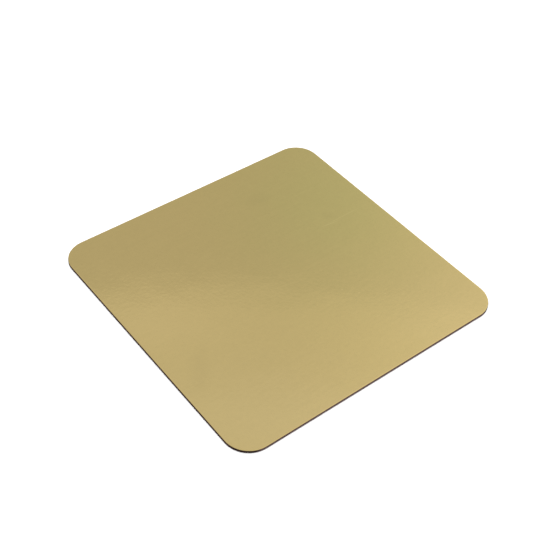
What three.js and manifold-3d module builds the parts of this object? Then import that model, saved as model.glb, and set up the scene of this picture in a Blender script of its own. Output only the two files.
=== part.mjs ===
// A cake board: one flat sheet of stiff card with round corners, cut to shape in a single stroke.
// A gold film is bonded to the upper face. It is far thinner than a hair, so it is a finish on the
// card and not a layer of its own. The board is bare card on its cut edge and underneath.
//
// Millimetres, +Z up. The origin is the centre of the underside, the sides run along X and Y,
// and the gold face looks up.

import * as THREE from 'three';
import { mergeVertices } from 'three/addons/utils/BufferGeometryUtils.js';
import Module from 'manifold-3d';

const wasm = await Module();
wasm.setup();

// Driving sizes. The knife pulls the film over the upper rim of the cut, so that rim is softly
// rolled, while the lower rim is left sharp.
const BOARD_WIDTH = 300; // along X
const BOARD_LENGTH = 300; // along Y
const CORNER_RADIUS = 25; // of each corner, seen from above
const BOARD_THICKNESS = 3; // card and film together
const RIM_ROLL = 0.35; // radius of the rolled upper rim

// Straight steps that stand for a quarter turn.
const CORNER_STEPS = 24;
const ROLL_STEPS = 4;

// Gold film, as it looks in even light.
const FILM_COLOUR = 0xb8a070;
const FILM_ROUGHNESS = 0.3;
const FILM_METALNESS = 0.9;

/** The board seen from above: a rectangle centred on the origin, with a quarter circle at each corner. */
function planShape() {
  const x = BOARD_WIDTH / 2 - CORNER_RADIUS;
  const y = BOARD_LENGTH / 2 - CORNER_RADIUS;
  const quarter = Math.PI / 2;
  const shape = new THREE.Shape();
  shape.absarc(x, y, CORNER_RADIUS, 0, quarter);
  shape.absarc(-x, y, CORNER_RADIUS, quarter, 2 * quarter);
  shape.absarc(-x, -y, CORNER_RADIUS, 2 * quarter, 3 * quarter);
  shape.absarc(x, -y, CORNER_RADIUS, 3 * quarter, 4 * quarter);
  shape.closePath();
  return shape;
}

/**
 * The sheet before its underside is trimmed. Both rims are rolled, and the lower one hangs a whole
 * roll below the underside, where the trim takes it away.
 */
function sheetGeometry() {
  const geometry = new THREE.ExtrudeGeometry(planShape(), {
    depth: BOARD_THICKNESS - RIM_ROLL,
    curveSegments: CORNER_STEPS / 2, // a shape gives an arc two steps for each of these
    bevelEnabled: true,
    bevelThickness: RIM_ROLL,
    bevelSize: RIM_ROLL,
    bevelOffset: -RIM_ROLL, // the wall then stands on the plan's own outline
    bevelSegments: ROLL_STEPS,
  });
  return geometry;
}

/** Everything below the underside, from a little wider than the sheet. */
function trimGeometry() {
  const depth = 2 * RIM_ROLL;
  const geometry = new THREE.BoxGeometry(BOARD_WIDTH + depth, BOARD_LENGTH + depth, depth);
  geometry.translate(0, 0, -depth / 2);
  return geometry;
}

/** A closed geometry as a solid that can be cut. */
function toSolid(geometry) {
  const bare = geometry.clone();
  bare.deleteAttribute('normal');
  bare.deleteAttribute('uv');
  const merged = mergeVertices(bare);
  const mesh = new wasm.Mesh({
    numProp: 3,
    vertProperties: merged.attributes.position.array,
    triVerts: Uint32Array.from(merged.index.array),
  });
  return new wasm.Manifold(mesh);
}

/** A cut solid as a geometry with one flat normal for each face. */
function toGeometry(solid) {
  const { vertProperties, triVerts } = solid.getMesh();
  const indexed = new THREE.BufferGeometry();
  indexed.setAttribute('position', new THREE.BufferAttribute(vertProperties, 3));
  indexed.setIndex(new THREE.BufferAttribute(triVerts, 1));
  const geometry = indexed.toNonIndexed();
  geometry.computeVertexNormals();
  return geometry;
}

/** The whole board, with its rolled upper rim and its flat, sharp-edged underside. */
function makeBoard() {
  const solid = toSolid(sheetGeometry()).subtract(toSolid(trimGeometry()));
  const material = new THREE.MeshStandardMaterial({
    color: FILM_COLOUR,
    roughness: FILM_ROUGHNESS,
    metalness: FILM_METALNESS,
  });
  const board = new THREE.Mesh(toGeometry(solid), material);
  board.name = 'cake_board';
  return board;
}

const group = new THREE.Group();
group.add(makeBoard());

export default group;
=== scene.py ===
import math
import bpy
import numpy as np
from mathutils import Matrix, Vector


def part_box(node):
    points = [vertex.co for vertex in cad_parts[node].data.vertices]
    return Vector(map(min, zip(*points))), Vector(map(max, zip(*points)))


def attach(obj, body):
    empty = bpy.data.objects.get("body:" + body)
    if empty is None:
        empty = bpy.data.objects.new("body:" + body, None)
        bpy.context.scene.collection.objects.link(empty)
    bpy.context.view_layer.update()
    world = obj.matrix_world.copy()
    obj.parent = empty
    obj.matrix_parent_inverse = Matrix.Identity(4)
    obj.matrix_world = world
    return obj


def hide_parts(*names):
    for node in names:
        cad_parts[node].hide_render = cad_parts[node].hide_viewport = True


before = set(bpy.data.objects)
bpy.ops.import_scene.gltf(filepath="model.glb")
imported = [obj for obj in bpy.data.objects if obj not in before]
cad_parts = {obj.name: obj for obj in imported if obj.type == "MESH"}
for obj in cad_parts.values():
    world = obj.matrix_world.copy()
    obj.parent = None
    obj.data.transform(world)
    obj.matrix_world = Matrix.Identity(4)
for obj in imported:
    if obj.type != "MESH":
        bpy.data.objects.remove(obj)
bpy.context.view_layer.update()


# The camera stands where the photograph was taken from: out beyond the board's near corner, looking
# down through a long lens, and tipped a little. All lengths from here on are in metres.
AIM = Vector((-0.00545, 0.0033, 0.0))
CAMERA_DISTANCE = 1.0012
CAMERA_AZIMUTH = math.radians(50.49)  # 0 looks along +Y
CAMERA_ELEVATION = math.radians(45.18)
CAMERA_ROLL = math.radians(2.67)
LENS_MM = 68.26
SENSOR_MM = 36.0
NEAREST_SEEN = 0.05
FARTHEST_SEEN = 100.0


def looking(place, way):
    """The matrix of a camera or lamp that stands at place and looks along way, with its top side up."""
    return Matrix.Translation(place) @ way.to_track_quat("-Z", "Y").to_matrix().to_4x4()


def make_camera():
    """
    The camera stands at AIM plus the distance times (sin azimuth cos elevation, -cos azimuth cos
    elevation, sin elevation). It looks back along that line, and the roll turns it about the line.
    """
    level = math.cos(CAMERA_ELEVATION)
    back = Vector((
        math.sin(CAMERA_AZIMUTH) * level,
        -math.cos(CAMERA_AZIMUTH) * level,
        math.sin(CAMERA_ELEVATION),
    ))
    lens = bpy.data.cameras.new("photo_camera")
    lens.lens = LENS_MM
    lens.sensor_width = SENSOR_MM
    lens.clip_start = NEAREST_SEEN
    lens.clip_end = FARTHEST_SEEN
    camera = bpy.data.objects.new("photo_camera", lens)
    roll = Matrix.Rotation(CAMERA_ROLL, 4, "Z")
    camera.matrix_world = looking(AIM + back * CAMERA_DISTANCE, -back) @ roll
    bpy.context.scene.collection.objects.link(camera)
    bpy.context.scene.camera = camera


make_camera()


# The board: one sheet of stiff grey-brown card with a gold film glued all over its upper face, cut out
# by a steel knife in one stroke. The knife presses the film down over the rim and leaves bare card on
# the cut edge, as there is underneath.
HALF_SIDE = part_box("cake_board")[1].x
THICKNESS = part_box("cake_board")[1].z
CORNER_RADIUS = 0.025
STRAIGHT = HALF_SIDE - CORNER_RADIUS  # from a side's middle to where its corner starts
HALF_WAY = STRAIGHT + CORNER_RADIUS * math.pi / 4  # from a side's middle to the middle of its corner

# The edge in section.
RIM_ROLL = 0.00035  # radius that the knife pulls into the upper rim
SHOULDER_WIDTH = 0.0016  # how far in from the edge the film starts to dip towards the cut
SHOULDER_DROP = 0.00003  # how far it has dipped where the rim starts to roll
WALL_TAPER = 0.00006  # the cut leans in by this much at its top
WORN_RIM = 0.00006  # height and depth of the worn lower rim

# Steps of the mesh.
SQUARES = 150  # squares across each face
ACROSS = SQUARES + 1  # points across each face
AROUND = 4 * SQUARES  # points in each ring of the edge
NOWHERE = 1e-9  # stands for the distance out at the middle point, which is 0
SHOULDER_STEPS = 5
ROLL_STEPS = 6
WALL_STEPS = 6
FILM_RINGS = SHOULDER_STEPS + ROLL_STEPS // 2  # the film ends half way round the rolled rim
SHARPEST_SMOOTH = math.radians(40)  # the mesh is creased where it turns by more than this

# The sheet isn't a perfect plane: slow waves a few thousandths of a millimetre high run through it,
# and only its reflections show them.
WAVE_COUNT = 14
WAVE_SEED = 7
WAVE_LENGTHS = (0.022, 0.085)
WAVE_SLOPE = 0.0006  # steepness of each wave, as rise over run


def outline(side, along):
    """
    Point and outward normal of the round-cornered square. A side runs from the middle of one corner's
    arc to the middle of the next, and along goes from -1 to 1 over it at an even speed. The distance
    is first spent on the straight, and what is left over turns the normal about the corner's centre.
    Side 0 faces +X, and the others are that one turned by quarters.
    """
    distance = along * HALF_WAY
    on_straight = np.clip(distance, -STRAIGHT, STRAIGHT)
    turn = (distance - on_straight) / CORNER_RADIUS
    normal = np.stack([np.cos(turn), np.sin(turn)], -1)
    centre = np.stack([np.full_like(along, STRAIGHT), on_straight], -1)
    point = centre + CORNER_RADIUS * normal
    quarter = side * math.pi / 2
    cos, sin = np.cos(quarter), np.sin(quarter)
    spin = np.stack([np.stack([cos, sin], -1), np.stack([-sin, cos], -1)], -2)
    return (np.einsum("...i,...ij->...j", point, spin), np.einsum("...i,...ij->...j", normal, spin))


def face_plan(inset):
    """
    Plan of a whole face as a grid of squares. The grid's rings are squares in the middle of the board
    and ease into the rounded outline, moved in by inset, as the fourth power of their distance out.
    """
    steps = np.linspace(-1, 1, ACROSS)
    s, t = np.meshgrid(steps, steps)
    ring = np.maximum(np.abs(s), np.abs(t))
    on_x = np.abs(s) >= np.abs(t)
    side = np.where(on_x, np.where(s >= 0, 0, 2), np.where(t >= 0, 1, 3))
    lead = np.where(on_x, np.abs(t), np.abs(s)) / np.maximum(ring, NOWHERE)
    sign = np.where(on_x, np.sign(s) * np.sign(t), -np.sign(s) * np.sign(t))
    point, normal = outline(side, sign * lead)
    rounded = ring[..., None] * (point - inset * normal)
    square = np.stack([s, t], -1) * (HALF_SIDE - inset)
    ease = (ring**4)[..., None]
    return (ease * rounded + (1 - ease) * square).reshape(-1, 2)


def edge_profile():
    """
    The edge in section, from the flat of the film down to the flat of the underside, as inset from the
    outline and height. A shoulder dips as the square of the way out, a quarter circle turns it down,
    a wall leans out to the outline, and a short slope ends it.
    """
    run = np.linspace(0, 1, SHOULDER_STEPS + 1)
    shoulder_inset = SHOULDER_WIDTH + run * (WALL_TAPER + RIM_ROLL - SHOULDER_WIDTH)
    shoulder = np.stack([shoulder_inset, THICKNESS - SHOULDER_DROP * run**2], -1)
    start = math.atan(2 * SHOULDER_DROP / (SHOULDER_WIDTH - WALL_TAPER - RIM_ROLL))
    angle = np.linspace(start, math.pi / 2, ROLL_STEPS + 1)[1:]
    roll_inset = WALL_TAPER + RIM_ROLL * (1 - np.sin(angle) + math.sin(start))
    roll_height = THICKNESS - SHOULDER_DROP - RIM_ROLL * (math.cos(start) - np.cos(angle))
    roll = np.stack([roll_inset, roll_height], -1)
    down = np.linspace(0, 1, WALL_STEPS + 1)[1:, None]
    wall = roll[-1] + down * (np.array([0.0, WORN_RIM]) - roll[-1])
    under = np.array([[WORN_RIM, 0.0]])
    return np.concatenate([shoulder, roll, wall, under])


def card_waves(plan):
    """
    Height of the slow waves over points of the plan: a sum of sines, whose lengths grow by an even
    ratio and whose headings and phases are drawn from a seed.
    """
    draw = np.random.default_rng(WAVE_SEED)
    length = np.geomspace(*WAVE_LENGTHS, WAVE_COUNT)
    heading = draw.uniform(0, 2 * math.pi, WAVE_COUNT)
    phase = draw.uniform(0, 2 * math.pi, WAVE_COUNT)
    number = 2 * math.pi / length
    along = plan[:, :1] * np.cos(heading) + plan[:, 1:] * np.sin(heading)
    return (WAVE_SLOPE / number * np.sin(number * along + phase)).sum(1)


def sheet_points(profile):
    """
    The points of the upper face, the lower face and the rings between them, one ring for each inner
    point of the profile. The waves fade with height, from whole on the film to none on the underside.
    """
    side = np.repeat(np.arange(4), SQUARES)
    along = np.tile(np.arange(SQUARES) * 2 / SQUARES - 1, 4)
    point, normal = outline(side, along)
    rings = point - profile[1:-1, 0, None, None] * normal
    plan = np.concatenate([face_plan(profile[0, 0]), face_plan(profile[-1, 0]), rings.reshape(-1, 2)])
    ring_height = np.repeat(profile[1:-1, 1], AROUND)
    height = np.concatenate([np.repeat(profile[[0, -1], 1], ACROSS**2), ring_height])
    return np.column_stack([plan, height + card_waves(plan) * height / THICKNESS])


def sheet_faces(ring_count):
    """
    Four-sided faces by the numbers of their points: the upper face's squares, the edge's squares from
    ring to ring, and the lower face's. The two faces' borders are the edge's first and last rings.
    """
    grid = np.arange(ACROSS**2).reshape(ACROSS, ACROSS)
    upper = np.stack([grid[:-1, :-1], grid[:-1, 1:], grid[1:, 1:], grid[1:, :-1]], -1).reshape(-1, 4)
    lower = upper[:, ::-1] + ACROSS**2
    border = np.concatenate([grid[:-1, -1], grid[-1, :0:-1], grid[:0:-1, 0], grid[0, :-1]])
    inner = 2 * ACROSS**2 + np.arange(ring_count * AROUND).reshape(-1, AROUND)
    rings = np.concatenate([border[None], inner, border[None] + ACROSS**2])
    ahead = np.roll(rings, -1, 1)
    edge = np.stack([rings[:-1], rings[1:], ahead[1:], ahead[:-1]], -1).reshape(-1, 4)
    return upper, edge, lower


def edge_uv(profile):
    """
    UV of the edge's squares: the way round the outline, which is eight half ways long and starts at
    the far corner, and the way down, which adds up the lengths of the profile's steps.
    """
    step = 8 * HALF_WAY / AROUND
    way_round = (np.arange(AROUND) + AROUND // 2) % AROUND * step
    way_down = np.append(0, np.cumsum(np.linalg.norm(np.diff(profile, axis=0), axis=1)))
    start, top = np.meshgrid(way_round, way_down[:-1])
    bottom = np.broadcast_to(way_down[1:, None], top.shape)
    u = np.stack([start, start, start + step, start + step], -1)
    v = np.stack([top, bottom, bottom, top], -1)
    return np.stack([u, v], -1).reshape(-1, 4, 2)


def board_mesh():
    """
    The closed sheet. Its UV map is in metres: x and y on the faces, and way round and way down on the
    edge. Each square has the number of its finish: 0 for film, 1 for cut card, 2 for the underside.
    """
    profile = edge_profile()
    places = sheet_points(profile)
    upper, edge, lower = sheet_faces(len(profile) - 2)
    uv = np.concatenate([places[upper, :2], edge_uv(profile), places[lower, :2]])
    film_count = len(upper) + FILM_RINGS * AROUND
    cut_count = len(edge) - FILM_RINGS * AROUND
    finish = np.repeat([0, 1, 2], [film_count, cut_count, len(lower)])
    mesh = bpy.data.meshes.new("cake_board_sheet")
    mesh.from_pydata(places.tolist(), [], np.concatenate([upper, edge, lower]).tolist())
    mesh.uv_layers.new(name="sheet").data.foreach_set("uv", uv.astype(np.float32).ravel())
    mesh.polygons.foreach_set("material_index", finish.astype(np.int32))
    mesh.shade_smooth()
    mesh.set_sharp_from_angle(angle=SHARPEST_SMOOTH)
    return mesh


def plug(tree, socket, value):
    """Links another node's output to the socket, or writes a constant into it."""
    if isinstance(value, bpy.types.NodeSocket):
        tree.links.new(value, socket)
    else:
        socket.default_value = value


def add(tree, kind, settings=(), **inputs):
    """A node of that kind, with its settings, and with its inputs by name, where _ stands for a space."""
    node = tree.nodes.new(kind)
    for name, value in dict(settings).items():
        setattr(node, name, value)
    for name, value in inputs.items():
        plug(tree, node.inputs[name.replace("_", " ")], value)
    return node


def calculate(tree, operation, *numbers):
    """The operation on one to three numbers, each an output or a constant."""
    node = add(tree, "ShaderNodeMath", {"operation": operation})
    for socket, value in zip(node.inputs, numbers):
        plug(tree, socket, value)
    return node.outputs[0]


def reckon(tree, operation, *vectors):
    """The operation on one or two vectors. A length or a dot product is a number, and the rest vectors."""
    node = add(tree, "ShaderNodeVectorMath", {"operation": operation})
    for socket, value in zip(node.inputs, vectors):
        plug(tree, socket, value)
    return node.outputs["Value" if operation in ("LENGTH", "DOT_PRODUCT") else "Vector"]


def rise(tree, value, span, ends=(0.0, 1.0), ease="SMOOTHSTEP"):
    """
    Goes from one end to the other while the value goes over the span, and stays at the ends beyond it.
    It starts and stops gently, or goes evenly where ease is LINEAR.
    """
    node = add(
        tree, "ShaderNodeMapRange", {"interpolation_type": ease},
        Value=value, From_Min=span[0], From_Max=span[1], To_Min=ends[0], To_Max=ends[1],
    )
    return node.outputs["Result"]


def noise(tree, place, grain):
    """A noise from 0 to 1. Its grain is grains a metre, finer layers, and what share each layer keeps."""
    size, layers, share = grain
    node = add(tree, "ShaderNodeTexNoise", Vector=place, Scale=size, Detail=layers, Roughness=share)
    return node.outputs["Fac"]


def drawn_out(tree, place, shrink):
    """The place, shrunk along each axis, so that a noise is drawn out along the axes that shrink most."""
    return add(tree, "ShaderNodeMapping", Vector=place, Scale=shrink).outputs["Vector"]


def blended(tree, *parts):
    """The sum of noises times their weights, moved so that it is a half where all of them are a half."""
    total = (1 - sum(weight for part, weight in parts)) / 2
    for part, weight in parts:
        total = calculate(tree, "MULTIPLY_ADD", part, weight, total)
    return total


def shaded(tree, value, levels, dark, light):
    """The colour goes from dark to light while the value goes from the first level to the second."""
    node = add(tree, "ShaderNodeValToRGB", Fac=value)
    for stop, level, colour in zip(node.color_ramp.elements, levels, (dark, light)):
        stop.position = level
        stop.color = colour
    return node.outputs["Color"]


def stained(tree, colour, amount, stain):
    """
    The colour, mixed towards the stain by amount. The node's colour sockets come after its factors,
    numbers and vectors, so they are found by their place.
    """
    mix = add(tree, "ShaderNodeMix", {"data_type": "RGBA"})
    for socket, value in zip((mix.inputs[0], mix.inputs[6], mix.inputs[7]), (amount, colour, stain)):
        plug(tree, socket, value)
    return mix.outputs[2]


def mark(tree, place, middle, turn, reach):
    """
    A soft elliptic mark on the upper face: 1 in its middle, easing to 0 at its rim. Reach is half its
    length and half its width, and turn is the heading of its length from +X.
    """
    local = add(
        tree, "ShaderNodeMapping", {"vector_type": "TEXTURE"},
        Vector=place, Location=(*middle, 0.0), Rotation=(0.0, 0.0, turn), Scale=(*reach, 1.0),
    )
    return rise(tree, reckon(tree, "LENGTH", local.outputs["Vector"]), (1.0, 0.0))


def relief(tree, shader, height, depth):
    """A bump on the surface, as high as the height times the depth."""
    bump = add(tree, "ShaderNodeBump", Strength=1.0, Distance=depth, Height=height)
    plug(tree, shader.inputs["Normal"], bump.outputs["Normal"])


def blank_material(name):
    """A material with only a principled shader wired to its output, and its tree and shader."""
    material = bpy.data.materials.new(name)
    material.use_nodes = True
    tree = material.node_tree
    tree.nodes.clear()
    shader = add(tree, "ShaderNodeBsdfPrincipled")
    add(tree, "ShaderNodeOutputMaterial", Surface=shader.outputs["BSDF"])
    return material, tree, shader


# The gold film. Each grain is grains a metre, finer layers, and what share each layer keeps.
FILM_DULL = (0.770, 0.599, 0.252, 1.0)
FILM_BRIGHT = (0.814, 0.632, 0.266, 1.0)
FILM_LEVELS = (0.2, 0.8)
FILM_ASLANT = (0.95, 0.84, 0.56, 1.0)  # its tint where it is seen from low down
FILM_ROUGHNESS = (0.06, 0.08)
HAZE_GRAIN = (35.0, 3.0, 0.5)  # where the film is rougher
HAZE_LEVELS = (0.3, 0.7)
MIST_GRAIN = (160.0, 6.0, 0.85)
PEEL_GRAIN = (260.0, 3.0, 0.65)
LINE_GRAIN = (300.0, 3.0, 0.55)
LINE_SHRINK = (1.0, 0.03, 1.0)
PEEL_WEIGHT = 0.5
LINE_WEIGHT = 0.35
LINE_HEIGHT = 0.15  # height of the lines as a part of the orange peel's
FILM_RELIEF = 0.00004

# Painted reflections: faint dark patches of the room's reflection, painted into the film's colour,
# given as middle, heading, and half length and half width.
PAINTED_DARK_REFLECTIONS = (
    ((-0.1006, 0.0532), math.radians(80), (0.024, 0.014)),
    ((0.0500, -0.1230), math.radians(-36), (0.038, 0.014)),
    ((-0.0390, 0.0970), math.radians(40), (0.012, 0.009)),
)
DARK_REFLECTION_COLOUR = (0.30, 0.24, 0.12, 1.0)
DARK_REFLECTION_STRENGTH = 0.05

# A scratch in the film, its faint tail, and three nicks, given in the same way: real marks painted
# brighter than the film as painted glints.
SCRATCH_GLINTS = (
    ((-0.0284, 0.0912), math.radians(84), (0.0150, 0.0005)),
    ((-0.0297, 0.1105), math.radians(90), (0.0400, 0.0003)),
    ((0.0495, 0.0411), math.radians(20), (0.0016, 0.0007)),
    ((0.0620, 0.0516), math.radians(60), (0.0014, 0.0006)),
    ((0.0774, 0.0708), math.radians(40), (0.0014, 0.0006)),
)
SCRATCH_GLINT_COLOUR = (0.90, 0.70, 0.32, 1.0)


def gold_film():
    """Gold metallised film. The card's grain shows through it as orange peel and as faint lines along Y."""
    material, tree, shader = blank_material("gold_film")
    shader.inputs["Metallic"].default_value = 1.0
    shader.inputs["Specular Tint"].default_value = FILM_ASLANT
    place = add(tree, "ShaderNodeTexCoord").outputs["Object"]
    peel = noise(tree, place, PEEL_GRAIN)
    lines = noise(tree, drawn_out(tree, place, LINE_SHRINK), LINE_GRAIN)
    mist = noise(tree, place, MIST_GRAIN)
    shade = blended(tree, (mist, 1.0), (lines, LINE_WEIGHT), (peel, PEEL_WEIGHT))
    colour = shaded(tree, shade, FILM_LEVELS, FILM_DULL, FILM_BRIGHT)
    # Painted reflections: each one darkens the film's colour a little inside its mark.
    for dark_reflection in PAINTED_DARK_REFLECTIONS:
        amount = calculate(tree, "MULTIPLY", mark(tree, place, *dark_reflection), DARK_REFLECTION_STRENGTH)
        colour = stained(tree, colour, amount, DARK_REFLECTION_COLOUR)
    # Painted glints: the scratch and nicks are painted in a brighter gold than the film.
    for scratch_glint in SCRATCH_GLINTS:
        colour = stained(tree, colour, mark(tree, place, *scratch_glint), SCRATCH_GLINT_COLOUR)
    plug(tree, shader.inputs["Base Color"], colour)
    rough = rise(tree, noise(tree, place, HAZE_GRAIN), HAZE_LEVELS, FILM_ROUGHNESS, "LINEAR")
    plug(tree, shader.inputs["Roughness"], rough)
    relief(tree, shader, calculate(tree, "MULTIPLY_ADD", lines, LINE_HEIGHT, peel), FILM_RELIEF)
    return material


# The cut edge. Its patterns are drawn out along the way round.
# Both shades are the card's brown darkened nearly to black: painted shade for the shade the cut edge stands
# in.
CUT_DARK = (0.010, 0.0055, 0.0048, 1.0)
CUT_LIGHT = (0.030, 0.0150, 0.0130, 1.0)
CUT_LEVELS = (0.3, 0.7)
CUT_ROUGHNESS = 0.85
CUT_SPECULAR = 0.05
PLY_GRAIN = (1700.0, 2.0, 0.7)
PLY_SHRINK = (0.012, 1.0, 1.0)
PLY_WEIGHT = 0.8
TORN_GRAIN = (2500.0, 4.0, 0.6)
TORN_SHRINK = (0.15, 1.0, 1.0)
TORN_WEIGHT = 0.6
CUT_RELIEF = 0.00006

# Painted light and shade on the straight cuts: the two where x is near its ends, which run with the
# grain, painted paler as painted light, and the two where y is, painted darker as painted shade.
STRAIGHT_CUT_LIGHT_AND_SHADE = (("X", (0.155, 0.098, 0.088, 1.0)), ("Y", (0.052, 0.026, 0.020, 1.0)))
STRAIGHT_DEPTH = 0.0022  # how far in from the side's line their tone begins
STRAIGHT_LEAST = 0.1  # how much of their tone the darkest ply takes


def cut_card():
    """
    The knife's cut through the card: plies and torn fibres in a brown darkened nearly to black, which is
    painted shade for the shade the edge stands in. The grain runs along Y. The two cuts beside it are
    painted paler as painted light, the two across it darker as painted shade, and the corners darkest
    as painted shade.
    """
    material, tree, shader = blank_material("cut_card")
    shader.inputs["Roughness"].default_value = CUT_ROUGHNESS
    shader.inputs["Specular IOR Level"].default_value = CUT_SPECULAR
    way = add(tree, "ShaderNodeUVMap", {"uv_map": "sheet"}).outputs["UV"]
    torn = noise(tree, drawn_out(tree, way, TORN_SHRINK), TORN_GRAIN)
    plies = noise(tree, drawn_out(tree, way, PLY_SHRINK), PLY_GRAIN)
    shade = blended(tree, (torn, TORN_WEIGHT), (plies, PLY_WEIGHT))
    colour = shaded(tree, shade, CUT_LEVELS, CUT_DARK, CUT_LIGHT)
    cover = calculate(tree, "MULTIPLY_ADD", shade, 1 - STRAIGHT_LEAST, STRAIGHT_LEAST)
    place = add(tree, "ShaderNodeTexCoord").outputs["Object"]
    parts = add(tree, "ShaderNodeSeparateXYZ", Vector=place)
    # Painted light and shade: the cuts facing +X and -X are made paler and those facing +Y and -Y darker,
    # and the corners keep the darkest colour as painted shade.
    for axis, side_light_and_shade in STRAIGHT_CUT_LIGHT_AND_SHADE:
        out = calculate(tree, "ABSOLUTE", parts.outputs[axis])
        near = rise(tree, out, (HALF_SIDE - STRAIGHT_DEPTH, HALF_SIDE))
        colour = stained(tree, colour, calculate(tree, "MULTIPLY", near, cover), side_light_and_shade)
    plug(tree, shader.inputs["Base Color"], colour)
    relief(tree, shader, shade, CUT_RELIEF)
    return material


# The underside: uncoated card, clouded, with short fibres and pale flecks.
UNDER_DARK = (0.110, 0.085, 0.072, 1.0)
UNDER_LIGHT = (0.205, 0.165, 0.140, 1.0)
UNDER_LEVELS = (0.3, 0.7)
UNDER_ROUGHNESS = 0.9
CLOUD_GRAIN = (25.0, 3.0, 0.5)
CLOUD_WEIGHT = 0.5
FIBRE_GRAIN = (600.0, 5.0, 0.65)
FIBRE_WEIGHT = 0.8
FLECK_GRAIN = (420.0, 1.0, 0.5)
FLECK_LEVELS = (0.68, 0.76)
FLECK_STRENGTH = 0.6
FLECK_COLOUR = (0.40, 0.35, 0.29, 1.0)
UNDER_RELIEF = 0.00004


def bare_underside():
    """Uncoated grey-brown card with its fibres and flecks."""
    material, tree, shader = blank_material("bare_underside")
    shader.inputs["Roughness"].default_value = UNDER_ROUGHNESS
    place = add(tree, "ShaderNodeTexCoord").outputs["Object"]
    fibre = noise(tree, place, FIBRE_GRAIN)
    shade = blended(tree, (fibre, FIBRE_WEIGHT), (noise(tree, place, CLOUD_GRAIN), CLOUD_WEIGHT))
    colour = shaded(tree, shade, UNDER_LEVELS, UNDER_DARK, UNDER_LIGHT)
    fleck = rise(tree, noise(tree, place, FLECK_GRAIN), FLECK_LEVELS, (0.0, FLECK_STRENGTH), "LINEAR")
    plug(tree, shader.inputs["Base Color"], stained(tree, colour, fleck, FLECK_COLOUR))
    relief(tree, shader, fibre, UNDER_RELIEF)
    return material


def make_board():
    """The finished sheet, which stands for the CAD board."""
    board = bpy.data.objects.new("gold_cake_board", board_mesh())
    for material in (gold_film(), cut_card(), bare_underside()):
        board.data.materials.append(material)
    bpy.context.scene.collection.objects.link(board)
    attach(board, "root")
    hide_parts("cake_board")


make_board()


# The studio floor: a wide sheet of pale matt paper that the board lies on. It is far wider than any
# view of the board, so its own edge never shows.
FLOOR_HALF = 20.0
FLOOR_GAP = 0.00003  # keeps the floor clear of the underside
FLOOR_COLOUR = (0.92, 0.92, 0.92, 1.0)
FLOOR_ROUGHNESS = 0.9


def make_floor():
    """One large square just under the board."""
    corners = [(x * FLOOR_HALF, y * FLOOR_HALF, -FLOOR_GAP) for x, y in ((-1, -1), (1, -1), (1, 1), (-1, 1))]
    mesh = bpy.data.meshes.new("studio_floor")
    mesh.from_pydata(corners, [], [(0, 1, 2, 3)])
    material, _, shader = blank_material("floor_paper")
    shader.inputs["Base Color"].default_value = FLOOR_COLOUR
    shader.inputs["Roughness"].default_value = FLOOR_ROUGHNESS
    mesh.materials.append(material)
    floor = bpy.data.objects.new("studio_floor", mesh)
    bpy.context.scene.collection.objects.link(floor)


make_floor()


# The light: a plain white studio all round and one wide lamp overhead. The film is nearly a mirror, so
# it also gets a studio of its own to reflect: a wall, smooth steps of brightness, and faint soft shapes.
STUDIO_RIGHT = (math.cos(CAMERA_AZIMUTH), math.sin(CAMERA_AZIMUTH), 0.0)  # right in the photograph
PLAIN_LIGHT = 1.1
WALL = 0.55

# Smooth steps of the mirrored light: where each one starts and ends, as a part of the direction, and
# how much it adds.
GLOW = (-0.04, 0.45, 0.41)
GLOW_END = (0.35, 0.70, -0.30)
CEILING = (0.714, 0.724, 0.075)
UPPER_CEILING = (0.755, 0.805, 0.055)
PALE_HORIZON = (0.62, 0.10, 0.20)
SKIRTING = (0.16, 0.04, -0.15)
STEPS_RIGHT = (GLOW, GLOW_END)
STEPS_UP = (CEILING, UPPER_CEILING, PALE_HORIZON, SKIRTING)

# Soft shapes of the mirrored light: how far right and how far up each one is, as parts of the
# direction, how far it reaches that way, and how much red, green and blue it adds.
GREEN_SCREEN = ((0.06, 0.65), (0.10, 0.06), (-0.04, 0.015, -0.02))
LEFT_WINDOW = ((-0.12, 0.74), (0.09, 0.02), (0.06, 0.055, 0.08))
RIGHT_WINDOW = ((0.18, 0.72), (0.07, 0.035), (0.01, 0.01, 0.05))
SKY_PANEL = ((0.02, 0.80), (0.15, 0.03), (0.005, 0.01, 0.06))
SHAPES = (GREEN_SCREEN, LEFT_WINDOW, RIGHT_WINDOW, SKY_PANEL)

LAMP_PLACE = Vector((-0.2, 0.16, 2.0))
LAMP_SIZE = 1.5
LAMP_WATTS = 24.0


def add_shape(tree, spot, light, shape):
    """
    The light so far plus one soft shape: its colour times e to the minus square of the way from its
    middle to the spot, with that way counted in reaches.
    """
    middle, reach, colour = shape
    way = reckon(tree, "DIVIDE", reckon(tree, "SUBTRACT", spot, (*middle, 0.0)), (*reach, 1.0))
    square = reckon(tree, "DOT_PRODUCT", way, way)
    strength = calculate(tree, "EXPONENT", calculate(tree, "MULTIPLY", square, -1.0))
    return reckon(tree, "ADD", light, reckon(tree, "MULTIPLY", strength, colour))


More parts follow.
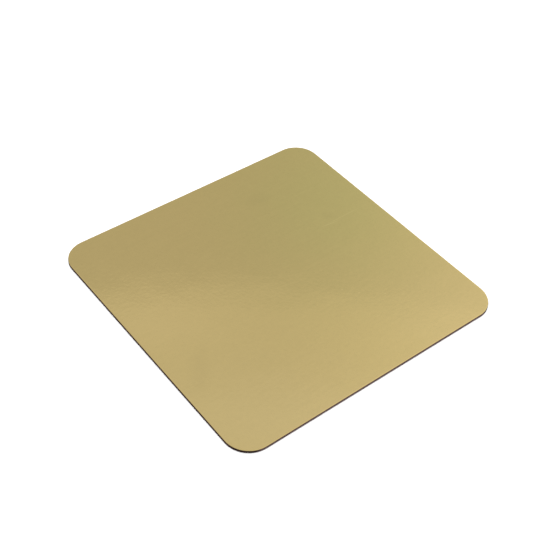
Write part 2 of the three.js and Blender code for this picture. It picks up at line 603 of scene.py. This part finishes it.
def mirrored_light(tree):
    """
    The light that the film mirrors from a direction: the wall's, plus the steps and the soft shapes.
    Right is the direction's part along STUDIO_RIGHT, and up is its part along +Z.
    """
    way = add(tree, "ShaderNodeTexCoord").outputs["Generated"]
    right = reckon(tree, "DOT_PRODUCT", way, STUDIO_RIGHT)
    up = add(tree, "ShaderNodeSeparateXYZ", Vector=way).outputs["Z"]
    grey = WALL
    for value, steps in ((right, STEPS_RIGHT), (up, STEPS_UP)):
        for start, end, amount in steps:
            grey = calculate(tree, "ADD", rise(tree, value, (start, end), (0.0, amount)), grey)
    light = add(tree, "ShaderNodeCombineXYZ", X=grey, Y=grey, Z=grey).outputs["Vector"]
    spot = add(tree, "ShaderNodeCombineXYZ", X=right, Y=up, Z=0.0).outputs["Vector"]
    for shape in SHAPES:
        light = add_shape(tree, spot, light, shape)
    return light


def make_studio():
    """The studio: reflections see the mirrored light, and everything else sees plain white."""
    world = bpy.data.worlds.new("studio")
    world.use_nodes = True
    tree = world.node_tree
    tree.nodes.clear()
    plain = add(tree, "ShaderNodeBackground", Color=(1.0, 1.0, 1.0, 1.0), Strength=PLAIN_LIGHT)
    mirrored = add(tree, "ShaderNodeBackground", Color=mirrored_light(tree), Strength=1.0)
    mixed = add(tree, "ShaderNodeMixShader")
    path = add(tree, "ShaderNodeLightPath")
    parts = (path.outputs["Is Glossy Ray"], plain.outputs[0], mirrored.outputs[0])
    for socket, part in zip(mixed.inputs, parts):
        plug(tree, socket, part)
    add(tree, "ShaderNodeOutputWorld", Surface=mixed.outputs[0])
    bpy.context.scene.world = world


def make_lamp():
    """A wide lamp above the board and a little beyond its middle. The film doesn't mirror it."""
    light = bpy.data.lights.new("overhead_lamp", "AREA")
    light.size = LAMP_SIZE
    light.energy = LAMP_WATTS
    lamp = bpy.data.objects.new("overhead_lamp", light)
    lamp.matrix_world = looking(LAMP_PLACE, -LAMP_PLACE)
    lamp.visible_glossy = False
    bpy.context.scene.collection.objects.link(lamp)


make_studio()
make_lamp()
bpy.context.scene.view_settings.view_transform = "Standard"
